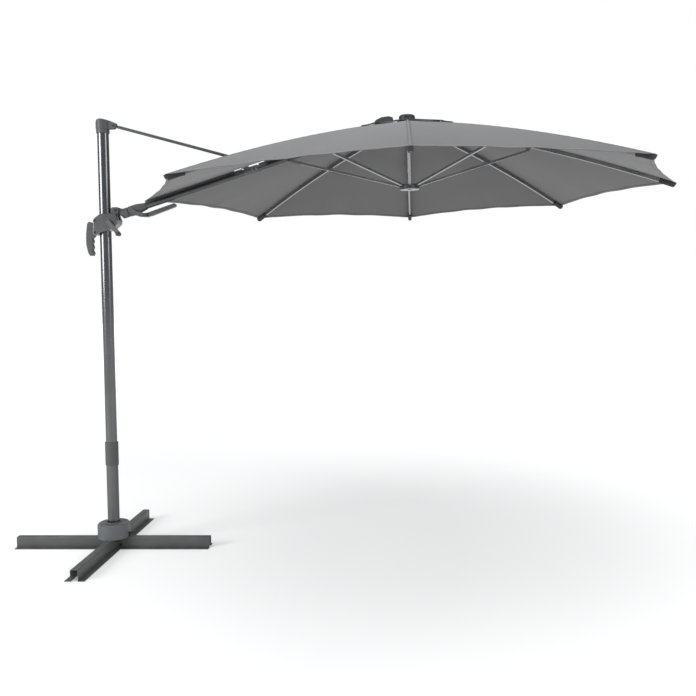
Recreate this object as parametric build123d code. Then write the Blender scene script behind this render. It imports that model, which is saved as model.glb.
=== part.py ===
from build123d import *
import math
import os

# Cantilever parasol. Millimetres and degrees. +Z is up, +X runs from the mast towards the canopy,
# and the origin is on the mast's axis at ground level.

# linkage: three pivots of one mirror-symmetric slider-crank, so its angles stay in constant ratio
pivot_x = 64.0
boom_pivot_z = 1920.0
stay_pivot_z = 2384.0
collar_pivot_x = 806.0
boom_slope = 18.2
stay_slope = 14.7

# canopy: every rib and its strut make an isosceles triangle with the hub's axis
hub_pivot_x = 1645.0
hub_pivot_z = 2388.0
hub_tilt = 2.35
fold_rest = 15.2
pivot_radius = 45.0
strut_length = 640.0
rib_length = 1482.0
rib_bow = 30.0
rib_count = 8
boom_rib = 4
cap_radius = 256.0
cap_height_on_boom_line = 8.0
cap_height = -17.0

# tubes
boom_radius = 16.0
boom_rise_at_hub = 21.0
boom_wall = 1.5
stay_radius = 8.5
stay_wall = 1.2
rib_width = 12.0
rib_height = 20.0
rib_wall = 1.0
strut_width = 14.0
strut_height = 12.0
rail_height = 11.0

# mast
upper_a, upper_b = 31.5, 24.0
lower_a, lower_b = 33.5, 25.5
tube_wall = 2.0
mast_foot_z = 92.0
mast_joint_z = 545.0
mast_top_z = 2366.0
sleeve_low, sleeve_high = 478.0, 612.0

# base
bar_length = 1106.0
bar_height = 62.0
bar_flange_width = 104.0
bar_channel = 42.0
sheet = 3.0
housing_radius = 89.0
housing_top = 150.0
anchor_hole_radius = 4.5
anchor_inset = 23.0
anchor_side = 36.0

# fits
running = 0.05
gap = 0.4
pin_small = 3.0
pin_large = 4.0
fabric_thickness = 0.8

# worked out from the dimensions above
half_rise = (stay_pivot_z - boom_pivot_z) / 2
collar_pivot_z = boom_pivot_z + half_rise
boom_axis_z = hub_pivot_z + boom_rise_at_hub
runner_drop = 2 * strut_length * math.sin(math.radians(fold_rest))

along_boom = Vector(math.cos(math.radians(boom_slope)), 0, math.sin(math.radians(boom_slope)))
above_boom = Vector(-math.sin(math.radians(boom_slope)), 0, math.cos(math.radians(boom_slope)))
boom_end = Vector(hub_pivot_x, 0, boom_axis_z)
boom_pivot = Vector(pivot_x, 0, boom_pivot_z)
stay_pivot = Vector(pivot_x, 0, stay_pivot_z)
collar_pivot = Vector(collar_pivot_x, 0, collar_pivot_z)
hub_pivot = Vector(hub_pivot_x, 0, hub_pivot_z)
boom_start = boom_end - along_boom * (boom_end - boom_pivot).dot(along_boom)
boom_frame = Plane(origin=boom_start, x_dir=along_boom, z_dir=above_boom)

hub_across = Vector(math.cos(math.radians(hub_tilt)), 0, math.sin(math.radians(hub_tilt)))
hub_up = Vector(-math.sin(math.radians(hub_tilt)), 0, math.cos(math.radians(hub_tilt)))
hub_centre = hub_pivot + hub_across * pivot_radius
hub_frame = Plane(origin=hub_centre, x_dir=hub_across, z_dir=hub_up)


def on_boom(point):
    """Position along and above the boom's axis, from the foot of the boom's pivot."""
    offset = point - boom_start
    return offset.dot(along_boom), offset.dot(above_boom)


boom_length = on_boom(boom_end)[0]
pivot_above_boom = on_boom(boom_pivot)[1]
collar_x, collar_above_boom = on_boom(collar_pivot)
hub_x, hub_z = on_boom(hub_pivot)


def outward(index):
    """Unit vector from the hub's axis towards one rib."""
    turn = math.radians(index * 360 / rib_count)
    return hub_across * math.cos(turn) + Vector(0, 1, 0) * math.sin(turn)


def rib_frame(index):
    """Origin at the rib's pivot, X along its chord, Z away from the canopy's inside."""
    fold = math.radians(fold_rest)
    out = outward(index)
    along = out * math.cos(fold) - hub_up * math.sin(fold)
    above = out * math.sin(fold) + hub_up * math.cos(fold)
    return Plane(origin=hub_centre + out * pivot_radius, x_dir=along, z_dir=above)


def strut_frame(index):
    """Origin where strut meets rib, X towards the runner."""
    fold = math.radians(fold_rest)
    out = outward(index)
    rib = rib_frame(index)
    along = -out * math.cos(fold) - hub_up * math.sin(fold)
    above = -out * math.sin(fold) + hub_up * math.cos(fold)
    return Plane(origin=rib.origin + rib.x_dir * strut_length, x_dir=along, z_dir=above)


runner_frame = Plane(origin=hub_centre - hub_up * runner_drop, x_dir=hub_across, z_dir=hub_up)


def bow(x):
    """Height of a rib's centre line above its chord: a parabola."""
    share = x / rib_length
    return 4 * rib_bow * share * (1 - share)


def save(node, *solids):
    """One STEP file per node; a node of several pieces is a group of separate solids."""
    shape = solids[0] if len(solids) == 1 else Compound(list(solids))
    shape.label = node
    export_step(shape, f"parts/{node}.step")


def cross_pin(radius, length, x=0.0, z=0.0):
    """Cylinder along Y, centred on the middle plane."""
    return Pos(x, 0, z) * Rot(90, 0, 0) * Cylinder(radius, length)


def block(x0, x1, y0, y1, z0, z1):
    """Box between two corners."""
    return Pos((x0 + x1) / 2, (y0 + y1) / 2, (z0 + z1) / 2) * Box(x1 - x0, y1 - y0, z1 - z0)


def lying_tube(x0, x1, radius, bore=0.0):
    """Round bar or tube along X."""
    bar = Pos((x0 + x1) / 2, 0, 0) * Rot(0, 90, 0) * Cylinder(radius, x1 - x0)
    if bore > 0:
        bar -= Pos((x0 + x1) / 2, 0, 0) * Rot(0, 90, 0) * Cylinder(bore, x1 - x0 + 2)
    return bar


def plate(points, y0, y1):
    """Outline in the X-Z plane, given thickness from y0 to y1."""
    face = Plane.XZ * make_face(Polyline(*points, close=True))
    return Pos(0, y1, 0) * extrude(face, y1 - y0)


def oval(a, b, z0, z1):
    """Upright bar of elliptical section."""
    return Pos(0, 0, z0) * extrude(Ellipse(a, b), z1 - z0)


def oval_tube(a, b, wall, z0, z1):
    """Upright tube of elliptical section."""
    return oval(a, b, z0, z1) - oval(a - wall, b - wall, z0 - 1, z1 + 1)


# ---- base ----

def hat_bar():
    """Pressed steel bar along X: a channel with its mouth down and a flange along each side."""
    channel = Pos(0, bar_height / 2) * RectangleRounded(bar_channel, bar_height, 6)
    foot = Pos(0, bar_height / 4) * Rectangle(bar_channel, bar_height / 2)
    flanges = Pos(0, sheet / 2) * Rectangle(bar_flange_width, sheet)
    inner_width = bar_channel - 2 * sheet
    inner_height = bar_height - sheet
    hollow = Pos(0, inner_height / 2) * RectangleRounded(inner_width, inner_height, 4)
    hollow_foot = Pos(0, inner_height / 4) * Rectangle(inner_width, inner_height / 2)
    section = channel + foot + flanges - hollow - hollow_foot
    bar = extrude(Plane.YZ * section, bar_length / 2, both=True)
    for side in (-1, 1):
        for end in (-1, 1):
            x = end * (bar_length / 2 - anchor_inset)
            bar -= Pos(x, side * anchor_side, 0) * Cylinder(anchor_hole_radius, 4 * sheet)
    return bar


def bolt_places():
    """Centres of the four bolts that hold the spindle's plate to the bars."""
    return [(65, 0), (-65, 0), (0, 65), (0, -65)]


def base_parts():
    half_way = bar_height / 2
    reach = bar_flange_width / 2 + gap
    side_bar = hat_bar() - block(-reach, reach, -60, 60, -1, half_way + gap)
    front_bar = Rot(0, 0, 90) * hat_bar()
    wall = bar_channel / 2 + gap
    front_bar -= block(-60, 60, -wall, wall, half_way, bar_height + 1)
    plate_top = bar_height + 6
    spindle = Pos(0, 0, bar_height + 3) * Cylinder(80, 6)
    spindle += Pos(0, 0, (plate_top + 200) / 2) * Cylinder(17, 200 - plate_top)
    shoulder = mast_foot_z - 0.2
    spindle += Pos(0, 0, (plate_top + shoulder) / 2) * Cylinder(26, shoulder - plate_top)
    bolts = []
    for x, y in bolt_places():
        hole = Pos(x, y, bar_height) * Cylinder(4.2, 40)
        side_bar -= hole
        front_bar -= hole
        spindle -= hole
        shank = Pos(x, y, bar_height + 1) * Cylinder(4, 22)
        head = Pos(x, y, plate_top + 3) * extrude(RegularPolygon(6.5, 6), 6)
        bolts.append(shank + Pos(0, 0, -3) * head)
    cover_top = housing_top - 6
    cover = Pos(0, 0, bar_height) * extrude(Circle(housing_radius), cover_top - bar_height)
    cover = chamfer(cover.faces().sort_by(Axis.Z)[-1].edges(), 8)
    collar = Pos(0, 0, cover_top) * extrude(Ellipse(46, 40), housing_top - cover_top)
    cover += fillet(collar.faces().sort_by(Axis.Z)[-1].edges(), 3)
    cover -= Pos(0, 0, bar_height - 1) * extrude(Circle(housing_radius - 4), cover_top - bar_height - 7)
    cover -= oval(lower_a + 3.5, lower_a + 3.5, bar_height, housing_top + 1)
    cover -= block(70, 110, -14, 14, bar_height - 1, bar_height + 26)
    cover += cross_pin(pin_small, 30, 85, 74)
    save("side_bar", side_bar)
    save("front_bar", front_bar)
    save("base_spindle", spindle)
    save("base_bolts", *bolts)
    save("base_housing", cover)


def pedal_parts():
    """Foot lever that frees the mast's turn: it rocks on a pin in the housing's side window."""
    lever = plate([(81, 69), (81, 79), (92, 84), (117, 96), (122, 91), (100, 79), (92, 69)], -11, 11)
    lever = fillet(lever.edges().filter_by(Axis.Y).sort_by(Axis.X)[-2:], 2)
    lever -= cross_pin(pin_small + running, 40, 85, 74)
    save("swivel_pedal", lever)


# ---- mast ----

def mast_parts():
    lower = oval_tube(lower_a, lower_b, tube_wall, mast_foot_z, mast_joint_z)
    upper = oval_tube(upper_a, upper_b, tube_wall, mast_joint_z + gap, mast_top_z)
    fit_a, fit_b = upper_a - tube_wall - 0.2, upper_b - tube_wall - 0.2
    coupling = oval_tube(fit_a, fit_b, 2.5, mast_joint_z - 160, mast_joint_z + 160)
    sleeve = oval(37, 29.5, sleeve_low, sleeve_high)
    sleeve = fillet(sleeve.faces().filter_by(Plane.XY).edges(), 2.5)
    sleeve -= oval(lower_a + 0.1, lower_b + 0.1, sleeve_low - 1, mast_joint_z)
    sleeve -= oval(upper_a + 0.1, upper_b + 0.1, mast_joint_z - 1, sleeve_high + 1)
    bush = oval(lower_a - tube_wall - 0.1, lower_b - tube_wall - 0.1, mast_foot_z, 196)
    bush -= Pos(0, 0, 150) * Cylinder(17 + running, 200)
    save("lower_mast", lower)
    save("upper_mast", upper)
    save("coupling_tube", coupling)
    save("mast_sleeve", sleeve)
    save("turn_bush", bush)


def cap_parts():
    """Cap on the mast's top with a fork at its front that holds the stay's pin."""
    outline = [(-37, 2366), (-37, 2400), (-26, 2416), (-4, 2421), (40, 2412), (76, 2398)]
    outline += [(78, 2380), (64, 2368), (30, 2366)]
    body = plate(outline, -30, 30)
    body = fillet(body.edges().filter_by(Axis.Y), 5)
    body = fillet(body.faces().sort_by(Axis.Y)[-1].edges(), 4)
    body = fillet(body.faces().sort_by(Axis.Y)[0].edges(), 4)
    trim = oval(38, 30.5, 2360, 2430) + block(20, 90, -14, 14, 2360, 2430)
    skirt = oval(36, 28.5, 2344, 2366.5) - oval(upper_a + 0.1, upper_b + 0.1, 2343, 2366)
    body = (body & trim) + skirt
    body -= block(43, 90, -6.4, 6.4, 2360, 2430)
    body -= cross_pin(pin_large, 40, pivot_x, stay_pivot_z)
    pin = cross_pin(pin_large, 30, pivot_x, stay_pivot_z)
    for side in (-1, 1):
        pin += Pos(pivot_x, side * 15.1, stay_pivot_z) * Rot(90, 0, 0) * Cylinder(6.5, 2)
    save("top_cap", body)
    save("cap_pin", pin)


# ---- stay ----

def stay_parts():
    """Straight tube from the cap to the collar, with an eye at the top and a cranked yoke at the foot."""
    down = math.radians(stay_slope)
    frame = Plane(
        origin=stay_pivot,
        x_dir=Vector(math.cos(down), 0, -math.sin(down)),
        z_dir=Vector(math.sin(down), 0, math.cos(down)),
    )
    offset = collar_pivot - stay_pivot
    foot_x, foot_z = offset.dot(frame.x_dir), offset.dot(frame.z_dir)
    tube_end = foot_x - 92
    tube = lying_tube(20, tube_end, stay_radius, stay_radius - stay_wall)
    eye = lying_tube(14, 44, stay_radius - stay_wall - 0.1)
    eye = (eye & block(0, 50, -6, 6, -9, 9)) + block(0, 19, -5.5, 5.5, -6.5, 6.5)
    eye += cross_pin(8.5, 11)
    eye -= cross_pin(pin_large + running, 30)
    elbow = [(tube_end - 22, -12), (tube_end - 22, 12), (tube_end + 8, 12)]
    elbow += [(foot_x - 46, foot_z + 14), (foot_x - 30, foot_z + 8), (foot_x - 30, foot_z - 7)]
    elbow += [(foot_x - 54, foot_z - 7), (tube_end, -12)]
    yoke = plate(elbow, -12, 12)
    cheek = plate(
        [
            (foot_x - 58, foot_z - 8),
            (foot_x - 58, foot_z + 12),
            (foot_x - 40, foot_z + 10),
            (foot_x, foot_z + 9),
            (foot_x, foot_z - 9),
        ],
        21,
        25,
    )
    cheek += Pos(foot_x, 23, foot_z) * Rot(90, 0, 0) * Cylinder(9, 4)
    bridge = block(foot_x - 58, foot_x - 46, -25, 25, foot_z - 8, foot_z + 12)
    yoke += bridge + cheek + mirror(cheek, Plane.XZ)
    yoke -= cross_pin(5 + running, 80, foot_x, foot_z)
    yoke -= lying_tube(tube_end - 40, tube_end, stay_radius + 0.05)
    save("stay_tube", frame.location * tube, frame.location * eye)
    save("stay_yoke", frame.location * yoke)


# ---- carriage ----

carriage_outline = [
    (-58, 1779), (-56, 1860), (-50, 1874), (-24, 1893), (-2, 1901), (40, 1903),
    (70, 1901), (84, 1863), (80, 1843), (56, 1821), (30, 1808), (-7, 1798), (-36, 1783),
]
carriage_half_width = 40.0


def carriage_body():
    """Closed form of both shells together, before they are hollowed."""
    body = plate(carriage_outline, -carriage_half_width, carriage_half_width)
    body = fillet(body.edges().filter_by(Axis.Y), 6)
    body = fillet(body.faces().sort_by(Axis.Y)[-1].edges(), 5)
    return fillet(body.faces().sort_by(Axis.Y)[0].edges(), 5)


def ear(side):
    """One ear of the clevis that holds the boom's pivot pin."""
    outline = [(38, 1890), (38, 1930), (50, 1937), (78, 1937), (82, 1925), (78, 1890)]
    cheek = plate(outline, 12.6, 20)
    cheek = fillet(cheek.edges().filter_by(Axis.Y).group_by(Axis.Z)[-1], 5)
    return cheek if side > 0 else mirror(cheek, Plane.XZ)


def carriage_parts():
    body = carriage_body()
    body -= oval(upper_a + 3.4, upper_b + 3.4, 1700, 1950)
    body += ear(1) + ear(-1)
    body -= block(36, 100, -12.6, 12.6, 1868, 1950)
    drum_x, drum_z = crank_centre
    body -= Pos(drum_x, -34, drum_z) * Rot(90, 0, 0) * Cylinder(5.5, 30)
    body -= Pos(drum_x, -32, drum_z) * Rot(90, 0, 0) * Cylinder(19, 9)
    body -= cross_pin(5, 60, pivot_x, boom_pivot_z)
    body -= block(-60, -34, -8, 8, 1786, 1850)
    near = body & block(-200, 200, -100, -0.1, 1600, 2000)
    far = body & block(-200, 200, 0.1, 100, 1600, 2000)
    bolts = []
    for z in (1862, 1797):
        hole = cross_pin(3.5, 100, -46, z)
        near -= hole
        far -= hole
        shank = cross_pin(3.5, 78, -46, z)
        for side in (-1, 1):
            head = Pos(-46, side * 41, z) * Rot(90, 0, 0) * Cylinder(6, 3.6)
            near -= Pos(-46, side * 40, z) * Rot(90, 0, 0) * Cylinder(6.2, 6)
            far -= Pos(-46, side * 40, z) * Rot(90, 0, 0) * Cylinder(6.2, 6)
            shank += head
        bolts.append(shank)
    liner = oval(upper_a + 3.3, upper_b + 3.3, 1806, 1892)
    liner -= oval(upper_a + gap, upper_b + gap, 1800, 1900)
    pin = cross_pin(5, 44, pivot_x, boom_pivot_z)
    for side in (-1, 1):
        pin += Pos(pivot_x, side * 21.5, boom_pivot_z) * Rot(90, 0, 0) * Cylinder(8, 3)
    save("carriage_shell_near", near)
    save("carriage_shell_far", far)
    save("carriage_bolts", *bolts)
    save("carriage_liner", liner)
    save("boom_pivot_pin", pin)


crank_centre = (34.0, 1853.0)


def grip_parts():
    """Hand grip hanging below the carriage's back, with finger ridges on its mast side, and its trigger."""
    spine = [(-57, 1778), (-66, 1845), (-86, 1858), (-98, 1846), (-105, 1790), (-106, 1734)]
    spine += [(-98, 1690), (-88, 1668), (-70, 1668), (-64, 1682), (-72, 1700), (-66, 1716)]
    spine += [(-72, 1732), (-66, 1748), (-71, 1764)]
    grip = plate(spine, -16, 16)
    grip = fillet(grip.edges().filter_by(Axis.Y), 3.5)
    grip = fillet(grip.faces().sort_by(Axis.Y)[-1].edges(), 3)
    grip = fillet(grip.faces().sort_by(Axis.Y)[0].edges(), 3)
    grip -= carriage_body()
    grip -= block(-76, -20, -7.4, 7.4, 1776, 1846)
    blade = [(-65, 1790), (-65, 1840), (-55, 1845), (-41, 1845), (-41, 1836), (-50, 1826)]
    trigger = plate(blade, -6, 6)
    trigger = fillet(trigger.edges().filter_by(Axis.Y), 1.5)
    trigger -= cross_pin(2.5, 30, -46, 1840)
    save("carriage_grip", grip)
    save("lock_trigger", trigger)


def crank_parts():
    x, z = crank_centre
    hub = Pos(x, -43, z) * Rot(90, 0, 0) * Cylinder(14, 6)
    reach = Vector(58, 0, -68)
    arm_frame = Plane(origin=(x, 0, z), x_dir=reach, z_dir=(0, -1, 0))
    bar = extrude(SlotCenterToCenter(reach.length, 24), 7)
    arm = arm_frame.location * Pos(reach.length / 2, 0, 46) * bar
    arm = fillet(arm.faces().sort_by(Axis.Y)[0].edges(), 2.5)
    knob_x, knob_z = x + reach.X, z + reach.Z
    axle = Pos(knob_x, -66, knob_z) * Rot(90, 0, 0) * Cylinder(4, 28)
    arm += hub + axle + Pos(x, -33, z) * Rot(90, 0, 0) * Cylinder(5, 18)
    knob = Pos(knob_x, -67, knob_z) * Rot(90, 0, 0) * Cylinder(11, 26)
    knob = fillet(knob.edges().filter_by(GeomType.CIRCLE), 4)
    knob -= Pos(knob_x, -66, knob_z) * Rot(90, 0, 0) * Cylinder(4 + running, 40)
    drum = Pos(x, -32, z) * Rot(90, 0, 0) * Cylinder(13, 5)
    for side in (-1, 1):
        drum += Pos(x, -32 + side * 3, z) * Rot(90, 0, 0) * Cylinder(18, 1.6)
    drum -= Pos(x, -33, z) * Rot(90, 0, 0) * Cylinder(5, 40)
    save("crank_arm", arm)
    save("crank_knob", knob)
    save("winch_drum", drum)


# ---- boom ----

def carrier_parts():
    """Knuckle on the boom's pivot and collar at the stay: the boom turns inside both."""
    socket = lying_tube(24, 66, 27)
    socket = fillet(socket.edges().filter_by(GeomType.CIRCLE), 5)
    tongue = cross_pin(14, 24, 0, pivot_above_boom)
    top_edge = [(-12, pivot_above_boom), (4, pivot_above_boom + 13), (40, 26), (40, -20)]
    tongue += plate(top_edge + [(26, -20), (2, pivot_above_boom - 14)], -12, 12)
    knuckle = socket + tongue
    knuckle -= cross_pin(5 + running, 60, 0, pivot_above_boom)
    knuckle -= lying_tube(32, 80, boom_radius + running)
    collar = lying_tube(collar_x - 30, collar_x + 56, boom_radius + 3.5)
    collar += block(collar_x - 26, collar_x + 52, -14, 14, 8, boom_radius + 6)
    for side in (-1, 1):
        boss = Pos(collar_x, side * 16, collar_above_boom) * Rot(90, 0, 0) * Cylinder(10, 9)
        collar += boss
    collar -= lying_tube(collar_x - 40, collar_x + 70, boom_radius + running)
    collar -= block(collar_x - 40, collar_x + 70, -7, 7, 10, boom_radius + rail_height + 3)
    collar += Pos(collar_x, 0, 0) * collar_pin_stub(1) + Pos(collar_x, 0, 0) * collar_pin_stub(-1)
    screws = []
    for x in (collar_x + 20, collar_x + 42):
        for side in (-1, 1):
            head = Pos(x, side * (boom_radius + 3.5 + 1.4), 0) * Rot(90, 0, 0) * Cylinder(4, 2.6)
            screws.append(head)
    save("boom_knuckle", boom_frame.location * knuckle)
    save("stay_collar", boom_frame.location * collar)
    save("collar_screws", *[boom_frame.location * screw for screw in screws])


def collar_pin_stub(side):
    """Short pin that carries one cheek of the stay's yoke."""
    pin = Pos(0, side * 23, collar_above_boom) * Rot(90, 0, 0) * Cylinder(5, 8)
    return pin + Pos(0, side * 26.5, collar_above_boom) * Rot(90, 0, 0) * Cylinder(8, 2)


def boom_parts():
    tube_end = hub_x - 44
    hump_start = tube_end - 97
    joint_x, joint_z = on_boom(rib_frame(boom_rib).origin + rib_frame(boom_rib).x_dir * strut_length)
    tube = lying_tube(34, tube_end, boom_radius, boom_radius - boom_wall)
    tube += cross_pin(pin_large, 2 * 21, joint_x, joint_z)
    for side in (-1, 1):
        tube += Pos(joint_x, side * 22, joint_z) * Rot(90, 0, 0) * Cylinder(7, 2)
    rails = []
    for x0, x1 in ((168, collar_x - 36), (collar_x + 62, hump_start - 4)):
        rail = block(x0, x1, -5, 5, 10, boom_radius + rail_height)
        rails.append(rail - lying_tube(x0 - 1, x1 + 1, boom_radius))
    fork = lying_tube(tube_end - 30, tube_end + 10, boom_radius + 3, boom_radius)
    fork += lying_tube(tube_end, tube_end + 10, boom_radius + 3)
    cheek = plate(
        [
            (tube_end + 2, 17), (hub_x - 24, hub_z + 22), (hub_x + 4, hub_z + 10),
            (hub_x + 8, hub_z - 8), (hub_x - 12, hub_z - 11), (tube_end, -17),
        ],
        7.4,
        13.5,
    )
    cheek += Pos(hub_x, 10.45, hub_z) * Rot(90, 0, 0) * Cylinder(13, 6.1)
    fork += cheek + mirror(cheek, Plane.XZ) + cross_pin(pin_large, 27, hub_x, hub_z)
    hump = [(0, 14), (2, 28), (27, 45), (60, 50), (100, 43), (120, 31), (119, 14)]
    hump = plate([(hump_start + x, z) for x, z in hump], -15, 15)
    hump = fillet(hump.edges().filter_by(Axis.Y).group_by(Axis.Z)[-1], 6)
    fork += hump - lying_tube(hump_start - 1, tube_end, boom_radius)
    fork = boom_frame.location * fork
    arm = plate([(78, 46.4), (78, 48.6), (192, 57.4), (192, 55)], -4, 4)
    arm += block(190, 206, -6, 6, 50, 59)
    fork += rib_frame(boom_rib).location * arm
    save("boom_tube", boom_frame.location * tube, *[boom_frame.location * rail for rail in rails])
    save("boom_fork", fork)


def tilt_parts():
    """Grip clamped on the boom, and the lever under it that frees the boom's roll."""
    cone = Pos(141, 0, 0) * Rot(0, 90, 0) * Cone(28.5, 19, 50)
    grip = lying_tube(68, 116, 28.5) + cone
    grip = fillet(grip.faces().sort_by(Axis.X)[0].edges(), 4)
    grip -= lying_tube(60, 180, boom_radius)
    for side in (-1, 1):
        grip += Pos(84, side * 32, 7) * Rot(90, 0, 0) * Cylinder(6, 8)
    outline = [(72, -2), (72, 15), (82, 19), (94, 14), (112, -14), (150, -38)]
    outline += [(322, -35), (328, -44), (322, -55), (180, -61), (152, -58), (100, -36)]
    side_form = plate(outline, -36.5, 36.5)
    side_form = fillet(side_form.edges().filter_by(Axis.Y), 5)
    hollow = block(40, 142, -29.6, 29.6, -80, 60)
    narrow = block(160, 400, -60, 60, -100, 40) - block(160, 400, -14, 14, -100, 40)
    taper = [(120, 60), (120, 36.5), (142, 36.5), (175, 14), (400, 14), (400, 60)]
    shoulder = plate_xy(taper, -100, 60)
    lever = side_form - hollow - narrow - shoulder - mirror(shoulder, Plane.XZ)
    lever -= cross_pin(6 + running, 100, 84, 7)
    save("tilt_grip", boom_frame.location * grip)
    save("tilt_lever", boom_frame.location * lever)


def plate_xy(points, z0, z1):
    """Outline in the X-Y plane, given thickness from z0 to z1."""
    return Pos(0, 0, z0) * extrude(make_face(Polyline(*points, close=True)), z1 - z0)


# ---- canopy frame ----

def hub_parts():
    body = Cylinder(60, 18)
    body = chamfer(body.edges().filter_by(GeomType.CIRCLE), 2)
    body += Pos(0, 0, -3) * Cylinder(26, 50)
    for index in range(rib_count):
        turn = Rot(0, 0, index * 360 / rib_count)
        if index == boom_rib:
            body -= turn * block(31, 80, -14, 14, -40, 40)
            body += turn * (block(20, pivot_radius, -7, 7, -9, 9) + cross_pin(9, 14, pivot_radius))
            body -= turn * cross_pin(pin_large + running, 40, pivot_radius)
        else:
            body -= turn * block(34, 80, -4.4, 4.4, -40, 40)
            body += turn * cross_pin(pin_small, 10.8, pivot_radius)
    body -= Pos(0, 0, -20) * Cylinder(7, 20)
    crown = Pos(0, 0, 23.5) * Cone(56, 46, 3)
    top = Pos(0, 0, 39) * Cylinder(45, 28)
    top = fillet(top.faces().sort_by(Axis.Z)[-1].edges(), 12)
    post = Pos(0, 0, 22.5) * Cylinder(12, 1)
    save("top_hub", hub_frame.location * body)
    save("finial", hub_frame.location * (crown + top + post))


def bowed_bar(x0, x1, half_width, half_height):
    """Bar along a rib's bowed centre line, from arcs through three stations."""
    middle = (x0 + x1) / 2
    top = ThreePointArc(*[(x, bow(x) + half_height) for x in (x0, middle, x1)])
    bottom = ThreePointArc(*[(x, bow(x) - half_height) for x in (x0, middle, x1)])
    ends = Line(top @ 0, bottom @ 0) + Line(top @ 1, bottom @ 1)
    face = Plane.XZ * make_face(top + bottom + ends)
    return extrude(face, half_width, both=True)


def cap_edge_height(index):
    """Height of the vent cap's corner above the hub's centre: higher along the boom's line."""
    return cap_height_on_boom_line if index in (0, boom_rib) else cap_height


def rib(index):
    """Bowed tube with its eye, strut lug and tip plug, and the small arm that holds the vent cap out."""
    bar = bowed_bar(22, rib_length - 8, rib_width / 2, rib_height / 2)
    bar -= bowed_bar(40, rib_length - 24, rib_width / 2 - rib_wall, rib_height / 2 - rib_wall)
    eye = plate([(0, -8), (0, 8), (26, bow(26) + 8), (26, bow(26) - 8)], -4, 4)
    eye += cross_pin(8, 8)
    eye -= cross_pin(pin_small + running, 30)
    lug = plate(
        [
            (strut_length - 7, 0),
            (strut_length - 16, 21),
            (strut_length + 16, 21),
            (strut_length + 7, 0),
        ],
        -2.8,
        2.8,
    )
    lug += cross_pin(7, 5.6, strut_length) + cross_pin(pin_small, 17, strut_length)
    for side in (-1, 1):
        lug += Pos(strut_length, side * 8.4, 0) * Rot(90, 0, 0) * Cylinder(5, 1.6)
    plug_x = rib_length - 7.9
    plug = block(plug_x, rib_length + 3, -7, 7, bow(plug_x) - 10.6, bow(plug_x) + 9)
    plug = fillet(plug.edges().filter_by(Axis.Z), 3)
    fold = math.radians(fold_rest)
    corner = (cap_radius - pivot_radius) * math.sin(fold) + cap_edge_height(index) * math.cos(fold)
    arm_end = corner - 4.5
    foot = [(62, bow(60) + 12.2), (60, bow(60) + 10.1), (80, bow(80) + 10.1)]
    arm = plate(foot + [(194, arm_end - 2.4), (192, arm_end)], -4, 4)
    arm += block(190, 206, -6, 6, arm_end - 5, arm_end)
    return [bar + eye + lug, plug, arm]


def strut(fork_inside, fork_outside, fork_length):
    """Square tube with a fork at its rib end and a flat eye at its runner end."""
    half = strut_width / 2
    tall = strut_height / 2
    tube = block(fork_length, strut_length - 24, -half, half, -tall, tall)
    inner = half - 1.2
    inner_tall = tall - 1.2
    tube -= block(fork_length + 8, strut_length - 36, -inner, inner, -inner_tall, inner_tall)
    cheek = block(0, fork_length + 6, fork_inside, fork_outside, -tall, tall)
    cheek_middle = (fork_inside + fork_outside) / 2
    cheek += Pos(0, cheek_middle, 0) * Rot(90, 0, 0) * Cylinder(tall, fork_outside - fork_inside)
    pin = pin_large if fork_inside > 10 else pin_small
    cheek -= cross_pin(pin + running, 100)
    bridge = block(fork_length, fork_length + 8, -fork_outside, fork_outside, -tall, tall)
    eye = block(strut_length - 30, strut_length, -3.4, 3.4, -tall, tall)
    eye += cross_pin(tall, 6.8, strut_length)
    eye -= cross_pin(pin_small + running, 30, strut_length)
    return tube + bridge + cheek + mirror(cheek, Plane.XZ) + eye


def runner():
    """Disc under the hub with a slot and a pin for each strut, open in the middle for the cord."""
    body = Pos(0, 0, -6) * Cylinder(54, 28)
    body = chamfer(body.edges().filter_by(GeomType.CIRCLE), 3)
    body -= Cylinder(14, 100)
    for index in range(rib_count):
        turn = Rot(0, 0, index * 360 / rib_count)
        body -= turn * block(34, 80, -3.8, 3.8, -9, 40)
        body += turn * cross_pin(pin_small, 9, pivot_radius)
    return runner_frame.location * body


def cord_parts():
    """Pull cord from the hub down to its ferrule in the runner's middle."""
    top = -28.0
    bottom = -runner_drop + 14
    cord = Pos(0, 0, (top + bottom) / 2) * Cylinder(3, top - bottom)
    ferrule = Pos(0, 0, -runner_drop) * Cylinder(9, 28)
    ferrule = fillet(ferrule.edges().filter_by(GeomType.CIRCLE), 2)
    save("pull_cord", hub_frame.location * cord)
    save("cord_ferrule", hub_frame.location * ferrule)


# ---- canopy fabric ----

ridge_stations = [152, 400, 700, 1000, 1280, rib_length + 4]
middle_stations = [152, 400, 700, 1000, 1260, rib_length * 0.968]


def ridge_point(index, x):
    """Point on the fabric's fold over one rib, at a distance along the rib's chord."""
    index = index % rib_count
    if index == boom_rib:
        lift = boom_radius + rail_height + 3
        return boom_end - along_boom * x + above_boom * lift
    frame = rib_frame(index)
    return frame.origin + frame.x_dir * x + frame.z_dir * (bow(x) + rib_height / 2 + 3)


def middle_point(index, x):
    """Point half way between two neighbouring folds."""
    return (ridge_point(index, x) + ridge_point(index + 1, x)) / 2


def cap_point(index, share):
    """Point on the vent cap over one rib: share 0 at the finial, 1 at the cap's corner."""
    radius = 54 + (cap_radius - 54) * share
    height = 20 + (cap_edge_height(index % rib_count) - 20) * share
    return hub_centre + outward(index) * radius + hub_up * height


def cap_middle(index, share):
    return (cap_point(index, share) + cap_point(index + 1, share)) / 2


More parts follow.
